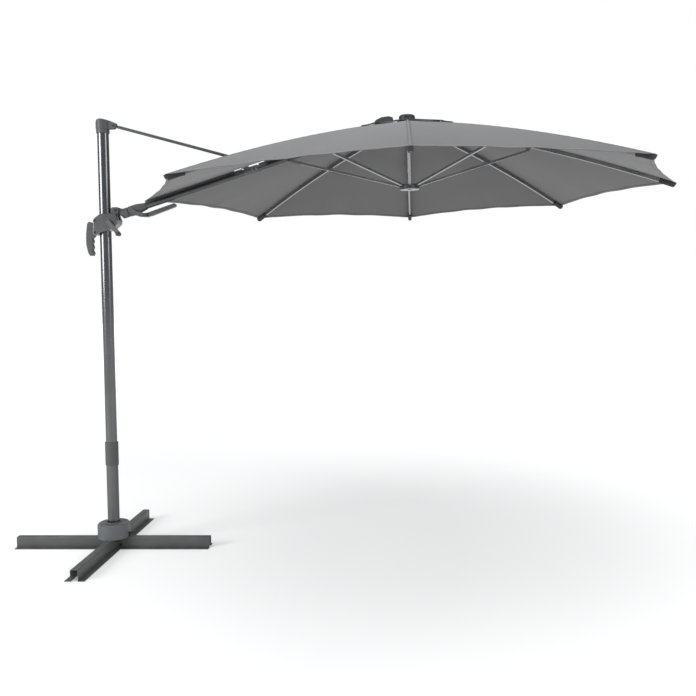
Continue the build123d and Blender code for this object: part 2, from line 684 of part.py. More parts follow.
def fabric(rows):
    """Closed sheet over rows of points, its thickness measured along the hub's axis."""
    lift = hub_up * fabric_thickness
    faces = []

    def face(*points):
        faces.append(Face(Wire.make_polygon(points, close=True)))

    def both_sides(a, b, c):
        face(a, b, c)
        face(a + lift, b + lift, c + lift)

    def edge(a, b):
        face(a, b, b + lift, a + lift)

    for near, far in zip(rows, rows[1:]):
        for column in range(len(near) - 1):
            both_sides(near[column], near[column + 1], far[column + 1])
            both_sides(near[column], far[column + 1], far[column])
        edge(near[0], far[0])
        edge(near[-1], far[-1])
    for row in (rows[0], rows[-1]):
        for column in range(len(row) - 1):
            edge(row[column], row[column + 1])
    return Solid(Shell(faces))


def canopy_parts():
    for index in range(rib_count):
        rows = []
        for ridge_x, middle_x in zip(ridge_stations, middle_stations):
            left = middle_point(index - 1, middle_x)
            right = middle_point(index, middle_x)
            rows.append([left, ridge_point(index, ridge_x), right])
        gore = fabric(rows)
        if index == boom_rib:
            slot = block(collar_x - 87, collar_x + 93, -32, 32, -20, 80)
            gore -= boom_frame.location * slot
        cap_rows = []
        for share in (0, 1):
            left = cap_middle(index - 1, share)
            right = cap_middle(index, share)
            cap_rows.append([left, cap_point(index, share), right])
        cap = fabric(cap_rows)
        if index == boom_rib:
            cap -= boom_frame.location * block(hub_x - 169, hub_x + 40, -22, 22, -20, 80)
        save(f"canopy_gore_{direction_names[index]}", gore, cap)


direction_names = ["right", "far_right", "far", "far_left", "left", "near_left", "near", "near_right"]


def frame_parts():
    rib_strut = strut(3.2, 7, 26)
    for index, name in enumerate(direction_names):
        if index == boom_rib:
            save("strut_left", strut_frame(index).location * strut(16.8, 20.8, 70))
            continue
        save(f"rib_{name}", *[rib_frame(index).location * piece for piece in rib(index)])
        save(f"strut_{name}", strut_frame(index).location * rib_strut)
    save("runner", runner())


os.makedirs("parts", exist_ok=True)
base_parts()
pedal_parts()
mast_parts()
cap_parts()
stay_parts()
carriage_parts()
grip_parts()
crank_parts()
carrier_parts()
boom_parts()
tilt_parts()
hub_parts()
frame_parts()
cord_parts()
canopy_parts()
print("boom length", round(boom_length, 1), "collar at", round(collar_x, 1), round(collar_above_boom, 1))
print("pivot above boom", round(pivot_above_boom, 1), "hub pivot", round(hub_x, 1), round(hub_z, 1))
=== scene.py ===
# Cantilever parasol: canopy cloth, cord, finishes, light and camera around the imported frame.
import math

import bpy
import numpy as np
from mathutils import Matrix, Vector


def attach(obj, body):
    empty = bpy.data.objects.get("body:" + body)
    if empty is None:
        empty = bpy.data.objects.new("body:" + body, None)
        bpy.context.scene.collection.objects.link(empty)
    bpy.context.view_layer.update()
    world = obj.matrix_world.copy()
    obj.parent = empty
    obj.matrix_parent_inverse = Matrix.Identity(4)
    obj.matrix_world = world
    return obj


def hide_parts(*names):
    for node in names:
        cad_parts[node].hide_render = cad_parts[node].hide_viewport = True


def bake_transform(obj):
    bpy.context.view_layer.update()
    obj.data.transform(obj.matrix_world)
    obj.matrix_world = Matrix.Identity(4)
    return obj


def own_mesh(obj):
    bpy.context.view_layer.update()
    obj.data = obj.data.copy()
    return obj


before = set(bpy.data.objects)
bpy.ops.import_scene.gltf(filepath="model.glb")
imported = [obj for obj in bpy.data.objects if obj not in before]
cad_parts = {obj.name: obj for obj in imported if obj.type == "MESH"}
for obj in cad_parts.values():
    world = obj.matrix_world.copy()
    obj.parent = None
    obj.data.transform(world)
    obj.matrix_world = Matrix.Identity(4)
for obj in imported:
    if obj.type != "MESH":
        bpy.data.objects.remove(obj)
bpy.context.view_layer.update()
print("frame loaded:", len(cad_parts), "nodes")

cameraPlace = {
    "position": (1.702, -4.474, 1.483),
    "tiltDown": 4.269,  # degrees below level, looking along +Y
    "lens": 40.958,
    "sensor": 36.0,
    "shift": -0.0882,
    "clipEnd": 200,
}


def placeCamera(place):
    cameraData = bpy.data.cameras.new("camera")
    cameraData.lens = place["lens"]
    cameraData.sensor_width = place["sensor"]
    cameraData.shift_x = place["shift"]
    cameraData.clip_end = place["clipEnd"]
    camera = bpy.data.objects.new("camera", cameraData)
    camera.location = place["position"]
    camera.rotation_euler = (math.radians(90 - place["tiltDown"]), 0, 0)
    bpy.context.collection.objects.link(camera)
    bpy.context.scene.camera = camera


rangeSockets = ("From Min", "From Max", "To Min", "To Max")

studio = {
    "backdrop": (1.0, 1.0, 1.0),
    "roomLight": (0.46, 0.465, 0.475),
    "floorSize": 30.0,
    "floorColour": (0.9, 0.9, 0.9),
    "floorRoughness": 0.7,
    "floorGlow": (0.3, 0.95),  # near and far emission
    "floorGlowReach": (2.0, 11.0),
    # name: place, point it faces, size, watts
    "lamps": {
        "keyLamp": ((-4.2, -3.4, 2.6), (0.6, 0, 1.4), 2.2, 190),
        "fillLamp": ((5.4, -4.6, 3.0), (1.2, 0, 1.6), 2.6, 95),
        "topLamp": ((1.2, -0.4, 6.6), (1.2, 0, 2.0), 4.5, 110),
    },
}


def lightStudio(settings):
    world = bpy.data.worlds.new("studioWorld")
    world.use_nodes = True
    tree = world.node_tree
    seen = tree.nodes.new("ShaderNodeLightPath").outputs["Is Camera Ray"]
    shade = tree.nodes.new("ShaderNodeMix")
    shade.data_type = "RGBA"
    colours = [socket for socket in shade.inputs if socket.type == "RGBA"]
    colours[0].default_value = (*settings["roomLight"], 1)
    colours[1].default_value = (*settings["backdrop"], 1)
    tree.links.new(seen, shade.inputs["Factor"])
    result = [socket for socket in shade.outputs if socket.type == "RGBA"][0]
    tree.links.new(result, tree.nodes["Background"].inputs["Color"])
    bpy.context.scene.world = world
    for name, (place, target, size, watts) in settings["lamps"].items():
        lamp = bpy.data.lights.new(name, "AREA")
        lamp.size = size
        lamp.energy = watts
        lampObject = bpy.data.objects.new(name, lamp)
        lampObject.location = place
        aim = Vector(target) - Vector(place)
        lampObject.rotation_euler = aim.to_track_quat("-Z", "Y").to_euler()
        bpy.context.collection.objects.link(lampObject)
    half = settings["floorSize"]
    corners = [(-half, -half, 0), (half, -half, 0), (half, half, 0), (-half, half, 0)]
    floorMesh = bpy.data.meshes.new("floor")
    floorMesh.from_pydata(corners, [], [(0, 1, 2, 3)])
    floor = bpy.data.objects.new("floor", floorMesh)
    bpy.context.collection.objects.link(floor)
    floorMaterial = bpy.data.materials.new("paleFloor")
    floorMaterial.use_nodes = True
    surface = floorMaterial.node_tree.nodes["Principled BSDF"]
    surface.inputs["Base Color"].default_value = (*settings["floorColour"], 1)
    surface.inputs["Roughness"].default_value = settings["floorRoughness"]
    surface.inputs["Emission Color"].default_value = (1, 1, 1, 1)
    floorTree = floorMaterial.node_tree
    distance = floorTree.nodes.new("ShaderNodeVectorMath")
    distance.operation = "LENGTH"
    floorTree.links.new(floorTree.nodes.new("ShaderNodeTexCoord").outputs["Object"], distance.inputs[0])
    glow = floorTree.nodes.new("ShaderNodeMapRange")
    floorTree.links.new(distance.outputs["Value"], glow.inputs["Value"])
    for label, number in zip(rangeSockets, settings["floorGlowReach"] + settings["floorGlow"]):
        glow.inputs[label].default_value = number
    floorTree.links.new(glow.outputs["Result"], surface.inputs["Emission Strength"])
    floorMesh.materials.append(floorMaterial)


placeCamera(cameraPlace)
lightStudio(studio)
bpy.context.scene.view_settings.view_transform = "Standard"
print("camera and light placed")

def newGroup(name, inputs, outputs):
    # inputs and outputs are (name, socket type, default) and (name, socket type)
    group = bpy.data.node_groups.new(name, "ShaderNodeTree")
    for label, kind, default in inputs:
        socket = group.interface.new_socket(name=label, in_out="INPUT", socket_type=kind)
        if default is not None:
            socket.default_value = default
    for label, kind in outputs:
        group.interface.new_socket(name=label, in_out="OUTPUT", socket_type=kind)
    return group, group.nodes.new("NodeGroupInput"), group.nodes.new("NodeGroupOutput")


def addMath(tree, operation, first, second=None):
    # first and second are sockets to link or plain numbers
    node = tree.nodes.new("ShaderNodeMath")
    node.operation = operation
    for place, value in enumerate((first, second)):
        if value is None:
            continue
        if isinstance(value, (int, float)):
            node.inputs[place].default_value = value
        else:
            tree.links.new(value, node.inputs[place])
    return node.outputs[0]


def addNoise(tree, vector, scale, detail=2.0, roughness=0.5):
    node = tree.nodes.new("ShaderNodeTexNoise")
    tree.links.new(vector, node.inputs["Vector"])
    if isinstance(scale, (int, float)):
        node.inputs["Scale"].default_value = scale
    else:
        tree.links.new(scale, node.inputs["Scale"])
    node.inputs["Detail"].default_value = detail
    node.inputs["Roughness"].default_value = roughness
    return node.outputs["Fac"]


def addRange(tree, value, fromLow, fromHigh, toLow, toHigh):
    node = tree.nodes.new("ShaderNodeMapRange")
    tree.links.new(value, node.inputs["Value"])
    for label, number in zip(rangeSockets, (fromLow, fromHigh, toLow, toHigh)):
        if isinstance(number, (int, float)):
            node.inputs[label].default_value = number
        else:
            tree.links.new(number, node.inputs[label])
    return node.outputs["Result"]


def addMix(tree, factor, first, second):
    # colours or sockets mixed by a factor socket
    node = tree.nodes.new("ShaderNodeMix")
    node.data_type = "RGBA"
    tree.links.new(factor, node.inputs["Factor"])
    for label, value in (("A", first), ("B", second)):
        socket = [s for s in node.inputs if s.name == label and s.type == "RGBA"][0]
        if hasattr(value, "is_linked"):
            tree.links.new(value, socket)
        else:
            socket.default_value = (*value, 1)
    return [s for s in node.outputs if s.type == "RGBA"][0]


grainMix = {"detail": 3.0, "roughness": 0.6, "coarseScale": 0.23, "fineShare": 0.6, "coarseShare": 0.4}
patchNoise = {"detail": 4.0, "roughness": 0.6}


def makeGrainGroup():
    # fine moulded or sprayed grain: two sizes of noise added, and a slow patchiness
    group, source, result = newGroup(
        "surfaceGrain",
        [
            ("Vector", "NodeSocketVector", None),
            ("Grain Scale", "NodeSocketFloat", 900.0),
            ("Patch Scale", "NodeSocketFloat", 6.0),
        ],
        [("Height", "NodeSocketFloat"), ("Patch", "NodeSocketFloat")],
    )
    place, grainScale = source.outputs["Vector"], source.outputs["Grain Scale"]
    fine = addNoise(group, place, grainScale, grainMix["detail"], grainMix["roughness"])
    coarse = addNoise(group, place, addMath(group, "MULTIPLY", grainScale, grainMix["coarseScale"]), 1.0)
    finePart = addMath(group, "MULTIPLY", fine, grainMix["fineShare"])
    coarsePart = addMath(group, "MULTIPLY", coarse, grainMix["coarseShare"])
    height = addMath(group, "ADD", finePart, coarsePart)
    patch = addNoise(group, place, source.outputs["Patch Scale"], patchNoise["detail"], patchNoise["roughness"])
    group.links.new(height, result.inputs["Height"])
    group.links.new(patch, result.inputs["Patch"])
    return group


dustFilm = {
    "upwards": (0.2, 1.0, 0.25, 1.0),  # upward share of the normal, and the film over that range
    "cloudScale": 9.0,
    "cloudDetail": 5.0,
    "cloudRoughness": 0.65,
    "cloudEdges": (0.35, 0.75),
}


def makeDustGroup():
    # a pale film: more of it on faces that look up, broken up by noise
    group, source, result = newGroup(
        "outdoorDust",
        [
            ("Vector", "NodeSocketVector", None),
            ("Colour", "NodeSocketColor", (0.1, 0.1, 0.1, 1)),
            ("Dust Colour", "NodeSocketColor", (0.35, 0.34, 0.32, 1)),
            ("Amount", "NodeSocketFloat", 0.15),
        ],
        [("Colour", "NodeSocketColor"), ("Film", "NodeSocketFloat")],
    )
    shape = group.nodes.new("ShaderNodeNewGeometry")
    split = group.nodes.new("ShaderNodeSeparateXYZ")
    group.links.new(shape.outputs["Normal"], split.inputs[0])
    facing = addRange(group, split.outputs["Z"], *dustFilm["upwards"])
    clump = (dustFilm["cloudScale"], dustFilm["cloudDetail"], dustFilm["cloudRoughness"])
    cloud = addRange(group, addNoise(group, source.outputs["Vector"], *clump), *dustFilm["cloudEdges"], 0.0, 1.0)
    film = addMath(group, "MULTIPLY", addMath(group, "MULTIPLY", facing, cloud), source.outputs["Amount"])
    colour = addMix(group, film, source.outputs["Colour"], source.outputs["Dust Colour"])
    group.links.new(colour, result.inputs["Colour"])
    group.links.new(film, result.inputs["Film"])
    return group


weaveNoise = {"threadShare": 0.5, "fibreScale": 420.0, "blotchScale": 3.2, "blotchDetail": 5.0, "blotchRoughness": 0.6}


def makeWeaveGroup():
    # plain weave: the product of two crossed sine waves, plus fibre noise; shade is a slow blotchy noise
    group, source, result = newGroup(
        "plainWeave",
        [("Vector", "NodeSocketVector", None), ("Thread Pitch", "NodeSocketFloat", 0.0012)],
        [("Height", "NodeSocketFloat"), ("Shade", "NodeSocketFloat")],
    )
    split = group.nodes.new("ShaderNodeSeparateXYZ")
    group.links.new(source.outputs["Vector"], split.inputs[0])
    waves = []
    for axis in ("X", "Y"):
        turns = addMath(group, "DIVIDE", split.outputs[axis], source.outputs["Thread Pitch"])
        waves.append(addMath(group, "SINE", addMath(group, "MULTIPLY", turns, 2 * math.pi)))
    height = addMath(group, "MULTIPLY", waves[0], waves[1])
    fibre = addNoise(group, source.outputs["Vector"], weaveNoise["fibreScale"])
    height = addMath(group, "ADD", addMath(group, "MULTIPLY", height, weaveNoise["threadShare"]), fibre)
    blotch = (weaveNoise["blotchScale"], weaveNoise["blotchDetail"], weaveNoise["blotchRoughness"])
    shade = addNoise(group, source.outputs["Vector"], *blotch)
    group.links.new(height, result.inputs["Height"])
    group.links.new(shade, result.inputs["Shade"])
    return group


surfaceGrain = makeGrainGroup()
outdoorDust = makeDustGroup()
plainWeave = makeWeaveGroup()

hardFinishes = {
    # rough is the lowest and highest roughness, grain the noise scale, bump the grain's height in metres
    "anthraciteMast": dict(
        colour=(0.12, 0.123, 0.13), patch=(0.105, 0.108, 0.114), metallic=0.95,
        rough=(0.17, 0.22), grain=1500.0, bump=0.000004, dust=0.06, coat=0.05,
    ),
    "anthraciteTube": dict(
        colour=(0.085, 0.088, 0.094), patch=(0.065, 0.068, 0.073), metallic=0.6,
        rough=(0.34, 0.46), grain=1400.0, bump=0.00002, dust=0.08, coat=0.1,
    ),
    "ribPaint": dict(
        colour=(0.33, 0.335, 0.34), patch=(0.27, 0.275, 0.28), metallic=0.9,
        rough=(0.24, 0.34), grain=1400.0, bump=0.00002, dust=0.08, coat=0.08,
    ),
    "bracketPaint": dict(
        colour=(0.11, 0.112, 0.118), patch=(0.085, 0.087, 0.092), metallic=0.35,
        rough=(0.4, 0.52), grain=900.0, bump=0.00004, dust=0.1, coat=0.05,
    ),
    "basePowderCoat": dict(
        colour=(0.092, 0.098, 0.094), patch=(0.072, 0.077, 0.075), metallic=0.15,
        rough=(0.42, 0.6), grain=520.0, bump=0.00008, dust=0.22, coat=0.05,
    ),
    "zincSteel": dict(
        colour=(0.56, 0.56, 0.55), patch=(0.42, 0.42, 0.42), metallic=1.0,
        rough=(0.28, 0.45), grain=700.0, bump=0.00002, dust=0.1, coat=0.0,
    ),
    "housingPlastic": dict(
        colour=(0.125, 0.133, 0.14), patch=(0.105, 0.113, 0.12), metallic=0.0,
        rough=(0.45, 0.6), grain=780.0, bump=0.00007, dust=0.18, coat=0.0,
    ),
    "carriagePlastic": dict(
        colour=(0.066, 0.068, 0.071), patch=(0.052, 0.054, 0.057), metallic=0.0,
        rough=(0.42, 0.56), grain=820.0, bump=0.00006, dust=0.08, coat=0.0,
    ),
    "blackPlastic": dict(
        colour=(0.017, 0.0175, 0.019), patch=(0.012, 0.0125, 0.0135), metallic=0.0,
        rough=(0.36, 0.5), grain=900.0, bump=0.00005, dust=0.07, coat=0.0,
    ),
    "carriagePlate": dict(
        colour=(0.15, 0.153, 0.16), patch=(0.12, 0.122, 0.128), metallic=0.85,
        rough=(0.26, 0.36), grain=1300.0, bump=0.00002, dust=0.06, coat=0.1,
    ),
    "nylonBush": dict(
        colour=(0.7, 0.69, 0.65), patch=(0.6, 0.59, 0.55), metallic=0.0,
        rough=(0.4, 0.55), grain=600.0, bump=0.00003, dust=0.05, coat=0.0,
    ),
}


def newMaterial(name):
    material = bpy.data.materials.new(name)
    material.use_nodes = True
    tree = material.node_tree
    return material, tree, tree.nodes["Principled BSDF"]


def addGroup(tree, group, vector, values):
    node = tree.nodes.new("ShaderNodeGroup")
    node.node_tree = group
    tree.links.new(vector, node.inputs["Vector"])
    for label, value in values.items():
        node.inputs[label].default_value = value
    return node


def addBump(tree, height, distance, strength=1.0):
    node = tree.nodes.new("ShaderNodeBump")
    node.inputs["Strength"].default_value = strength
    node.inputs["Distance"].default_value = distance
    tree.links.new(height, node.inputs["Height"])
    return node.outputs["Normal"]


hardPatches = {"scale": 7.0, "colourEdges": (0.35, 0.65), "roughEdges": (0.3, 0.7), "coatRoughness": 0.25}


def makeHardFinish(name, look):
    # grain drives the bump, slow patches drive colour and roughness, dust lies over both
    material, tree, surface = newMaterial(name)
    place = tree.nodes.new("ShaderNodeTexCoord").outputs["Object"]
    grain = addGroup(tree, surfaceGrain, place, {"Grain Scale": look["grain"], "Patch Scale": hardPatches["scale"]})
    blotch = addRange(tree, grain.outputs["Patch"], *hardPatches["colourEdges"], 0.0, 1.0)
    painted = addMix(tree, blotch, look["patch"], look["colour"])
    dust = addGroup(tree, outdoorDust, place, {"Amount": look["dust"]})
    tree.links.new(painted, dust.inputs["Colour"])
    tree.links.new(dust.outputs["Colour"], surface.inputs["Base Color"])
    roughness = addRange(tree, grain.outputs["Patch"], *hardPatches["roughEdges"], *look["rough"])
    tree.links.new(roughness, surface.inputs["Roughness"])
    tree.links.new(addBump(tree, grain.outputs["Height"], look["bump"]), surface.inputs["Normal"])
    surface.inputs["Metallic"].default_value = look["metallic"]
    surface.inputs["Coat Weight"].default_value = look["coat"]
    surface.inputs["Coat Roughness"].default_value = hardPatches["coatRoughness"]
    return material


finishes = {name: makeHardFinish(name, look) for name, look in hardFinishes.items()}

clothLook = {
    "colour": (0.11, 0.11, 0.118),
    "shade": (0.094, 0.094, 0.101),
    # the inside colours are a darker copy of the cloth's: painted shade for the canopy's shadowed underside
    "insidePaintedShadeColour": (0.074, 0.072, 0.071),
    "insidePaintedShadeBlotch": (0.062, 0.06, 0.059),
    "stitchColour": (0.1, 0.1, 0.105),
    "threadPitch": 0.0011,
    "weaveHeight": 0.00012,
    "stitchLength": 0.0042,
    "stitchWidth": 0.0009,
    "hemStitch": 0.016,  # from the hem's edge
    "seamStitch": 0.0045,  # from the ridge
    "stitchFill": 0.72,  # share of a stitch's length that is thread
    "stitchHeight": 2.0,
    "weaveStrength": 0.8,
    "blotchEdges": (0.35, 0.65),
    "roughness": (0.3, 0.7, 0.74, 0.86),  # shade's range, and the roughness over it
    "sheen": 0.25,
    "sheenRoughness": 0.5,
    "specular": 0.3,
}


def makeCanopyCloth(name, look, colour, shade):
    # UV is in metres: U across from the ridge, V in from the rim. Stitches are short dashes on two lines
    material, tree, surface = newMaterial(name)
    place = tree.nodes.new("ShaderNodeTexCoord").outputs["UV"]
    weave = addGroup(tree, plainWeave, place, {"Thread Pitch": look["threadPitch"]})
    split = tree.nodes.new("ShaderNodeSeparateXYZ")
    tree.links.new(place, split.inputs[0])
    across = addMath(tree, "ABSOLUTE", split.outputs["X"])

    def stitchLine(distance, along, offset):
        gap = addMath(tree, "ABSOLUTE", addMath(tree, "SUBTRACT", distance, offset))
        onLine = addMath(tree, "LESS_THAN", gap, look["stitchWidth"])
        dash = addMath(tree, "FRACT", addMath(tree, "DIVIDE", along, look["stitchLength"]))
        return addMath(tree, "MULTIPLY", onLine, addMath(tree, "LESS_THAN", dash, look["stitchFill"]))

    hem = stitchLine(split.outputs["Y"], split.outputs["X"], look["hemStitch"])
    seam = stitchLine(across, split.outputs["Y"], look["seamStitch"])
    stitches = addMath(tree, "MAXIMUM", hem, seam)
    blotch = addRange(tree, weave.outputs["Shade"], *look["blotchEdges"], 0.0, 1.0)
    cloth = addMix(tree, blotch, shade, colour)
    tree.links.new(addMix(tree, stitches, cloth, look["stitchColour"]), surface.inputs["Base Color"])
    height = addMath(tree, "ADD", weave.outputs["Height"], addMath(tree, "MULTIPLY", stitches, look["stitchHeight"]))
    tree.links.new(addBump(tree, height, look["weaveHeight"], look["weaveStrength"]), surface.inputs["Normal"])
    tree.links.new(addRange(tree, weave.outputs["Shade"], *look["roughness"]), surface.inputs["Roughness"])
    surface.inputs["Sheen Weight"].default_value = look["sheen"]
    surface.inputs["Sheen Roughness"].default_value = look["sheenRoughness"]
    surface.inputs["Specular IOR Level"].default_value = look["specular"]
    return material


webbingLook = {"shadeShare": 0.6, "roughness": (0.3, 0.7, 0.7, 0.85), "weaveHeight": 0.0003}


def makeWebbing(name, colour, pitch):
    # coarse dark weave for pockets and for the cord's braid
    material, tree, surface = newMaterial(name)
    place = tree.nodes.new("ShaderNodeTexCoord").outputs["UV"]
    weave = addGroup(tree, plainWeave, place, {"Thread Pitch": pitch})
    darker = tuple(part * webbingLook["shadeShare"] for part in colour)
    tone = addMix(tree, addRange(tree, weave.outputs["Height"], 0.0, 1.0, 0.0, 1.0), darker, colour)
    tree.links.new(tone, surface.inputs["Base Color"])
    tree.links.new(addRange(tree, weave.outputs["Shade"], *webbingLook["roughness"]), surface.inputs["Roughness"])
    tree.links.new(addBump(tree, weave.outputs["Height"], webbingLook["weaveHeight"]), surface.inputs["Normal"])
    return material


canopyCloth = makeCanopyCloth("canopyCloth", clothLook, clothLook["colour"], clothLook["shade"])
# the darker copy of the cloth for the inner faces is painted shade, standing in for the shadow inside the canopy
canopyInsidePaintedShade = makeCanopyCloth("canopyInsidePaintedShade", clothLook, clothLook["insidePaintedShadeColour"], clothLook["insidePaintedShadeBlotch"])
pocketWebbing = makeWebbing("pocketWebbing", (0.03, 0.03, 0.032), 0.002)
cordBraid = makeWebbing("cordBraid", (0.03, 0.03, 0.031), 0.0016)

nodeFinishes = {
    "basePowderCoat": ["side_bar", "front_bar"],
    "zincSteel": ["base_spindle", "base_bolts", "coupling_tube", "collar_screws", "winch_drum"],
    "housingPlastic": ["base_housing"],
    "blackPlastic": [
        "swivel_pedal", "lock_trigger", "crank_knob", "finial", "top_hub",
        "cord_ferrule", "carriage_bolts", "boom_pivot_pin", "cap_pin",
    ],
    "anthraciteMast": ["lower_mast", "upper_mast"],
    "anthraciteTube": ["boom_tube", "stay_tube", "boom_fork"],
    "bracketPaint": ["stay_yoke", "stay_collar", "crank_arm"],
    "nylonBush": ["turn_bush", "carriage_liner"],
    "carriagePlate": ["carriage_shell_near", "carriage_shell_far", "runner"],
    "carriagePlastic": ["mast_sleeve", "top_cap", "carriage_grip", "boom_knuckle", "tilt_grip", "tilt_lever"],
}

directions = ["right", "far_right", "far", "far_left", "left", "near_left", "near", "near_right"]
nodeFinishes["ribPaint"] = [f"rib_{d}" for d in directions if d != "left"] + [f"strut_{d}" for d in directions]


def paintNodes(table):
    for finish, names in table.items():
        for name in names:
            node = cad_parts[name]
            if not node.material_slots:
                node.data.materials.append(finishes[finish])
            for materialSlot in node.material_slots:
                materialSlot.material = finishes[finish]


paintNodes(nodeFinishes)
print("finishes made")

skeleton = {
    "hubPivot": (1.645, 0.0, 2.388),
    "hubTilt": 2.35,
    "fold": 15.2,
    "pivotRadius": 0.045,
    "ribLength": 1.482,
    "ribBow": 0.030,
    "ribCover": 0.013,  # cloth above a rib's middle line
    "strutLength": 0.640,
    "boomSlope": 18.2,
    "boomRise": 0.021,
    "boomCover": 0.030,
    "boomIndex": 4,
}


def directionInPlane(angle):
    # unit vector in the middle plane, that many degrees above +X
    return np.array([math.cos(math.radians(angle)), 0.0, math.sin(math.radians(angle))])


hubAcross = directionInPlane(skeleton["hubTilt"])
hubUp = directionInPlane(skeleton["hubTilt"] + 90)
hubCentre = np.array(skeleton["hubPivot"]) + hubAcross * skeleton["pivotRadius"]
alongBoom = directionInPlane(skeleton["boomSlope"])
aboveBoom = directionInPlane(skeleton["boomSlope"] + 90)
boomEnd = np.array(skeleton["hubPivot"]) + np.array([0, 0, skeleton["boomRise"]])
foldCos, foldSin = math.cos(math.radians(skeleton["fold"])), math.sin(math.radians(skeleton["fold"]))


def outward(index):
    turn = 2 * math.pi * index / len(directions)
    return hubAcross * math.cos(turn) + np.array([0.0, 1.0, 0.0]) * math.sin(turn)


def sideways(index):
    return np.cross(hubUp, outward(index))


def ribAxes(index):
    # pivot, direction along the chord, direction away from the canopy's inside
    out = outward(index)
    return hubCentre + out * skeleton["pivotRadius"], out * foldCos - hubUp * foldSin, out * foldSin + hubUp * foldCos


def ribBowAt(x):
    share = x / skeleton["ribLength"]
    return 4 * skeleton["ribBow"] * share * (1 - share)


def ridge(index, x):
    # the cloth's fold: a parabola over a rib's chord, or a straight line over the boom
    index = index % len(directions)
    x = np.asarray(x)[..., None]
    if index == skeleton["boomIndex"]:
        return boomEnd - alongBoom * x + aboveBoom * skeleton["boomCover"]
    pivot, along, above = ribAxes(index)
    return pivot + along * x + above * (ribBowAt(x) + skeleton["ribCover"])


def gridMesh(name, points, keep=None, uv=None, facing=None):
    # quads between neighbouring rows and columns of points; turned over if they face against 'facing'
    rows, columns = points.shape[:2]
    number = np.arange(rows * columns).reshape(rows, columns)
    quads = np.stack([number[:-1, :-1], number[1:, :-1], number[1:, 1:], number[:-1, 1:]], -1)
    if keep is not None:
        quads = quads[keep]
    quads = quads.reshape(-1, 4)
    flat = points.reshape(-1, 3)
    if facing is not None:
        corner = flat[quads]
        normals = np.cross(corner[:, 2] - corner[:, 0], corner[:, 3] - corner[:, 1])
        if (normals @ np.asarray(facing)).sum() < 0:
            quads = quads[:, ::-1]
    used = np.unique(quads)
    renumber = np.zeros(len(flat), int)
    renumber[used] = np.arange(len(used))
    mesh = bpy.data.meshes.new(name)
    mesh.from_pydata(flat[used].tolist(), [], renumber[quads].tolist())
    if uv is not None:
        layer = mesh.uv_layers.new(name="cloth")
        loops = np.empty(len(mesh.loops), int)
        mesh.loops.foreach_get("vertex_index", loops)
        layer.data.foreach_set("uv", uv.reshape(-1, 2)[used][loops].ravel())
    mesh.shade_smooth()
    piece = bpy.data.objects.new(name, mesh)
    bpy.context.collection.objects.link(piece)
    return piece, used


def sharpenBorder(mesh):
    # edges with one face are marked sharp, so a cut edge doesn't shade round
    edgeOfLoop = np.empty(len(mesh.loops), int)
    mesh.loops.foreach_get("edge_index", edgeOfLoop)
    uses = np.bincount(edgeOfLoop, minlength=len(mesh.edges))
    mark = mesh.attributes.new("sharp_edge", "BOOLEAN", "EDGE")
    mark.data.foreach_set("value", uses == 1)


def thicken(piece, layers, thickness):
    # Solidify with a vertex group: weight 1 where cloth lies double, less where it is single
    group = piece.vertex_groups.new(name="clothLayers")
    for weight in np.unique(layers):
        group.add(np.flatnonzero(layers == weight).tolist(), float(weight), "REPLACE")
    modifier = piece.modifiers.new("clothThickness", "SOLIDIFY")
    modifier.thickness = thickness
    modifier.offset = 0
    modifier.vertex_group = group.name
    modifier.use_quality_normals = True
    modifier.material_offset = 1  # the inner faces take the darker copy of the cloth, painted shade for the shadowed inside
    piece.data.materials.append(canopyCloth)
    piece.data.materials.append(canopyInsidePaintedShade)


def meshArea(mesh):
    areas = np.empty(len(mesh.polygons))
    mesh.polygons.foreach_get("area", areas)
    return float(areas.sum())


gore = {
    "inner": 0.152,  # start along the rib, under the vent cap
    "overhang": 0.004,
    "rimDip": 0.034,  # share that the rim is pulled in half way between two ribs
    "sag": 0.007,
    "hem": 0.018,
    "innerHem": 0.011,
    "seam": 0.0062,
    "seamLift": 0.0007,
    "rows": 74,
    "columns": 15,
    "thickness": 0.0016,
    "single": 0.5,
    "slot": (0.7843, 0.9643),  # along the boom ridge, where the stay's collar stands through
    "slotHalf": 0.032,
    "slotBinding": 0.012,
    "rippleHeight": 0.0022,
    "tipFolds": 0.0016,
    "tipFoldWave": 0.011,
    "tipFoldReach": (0.16, 0.07),  # in from the tip, and out from the ridge
    "puckerHeight": 0.00035,
    "puckerWave": 0.0042,
    "puckerReach": 0.012,
    "margin": 0.0005,  # keeps a row of points on its own side of a limit
}


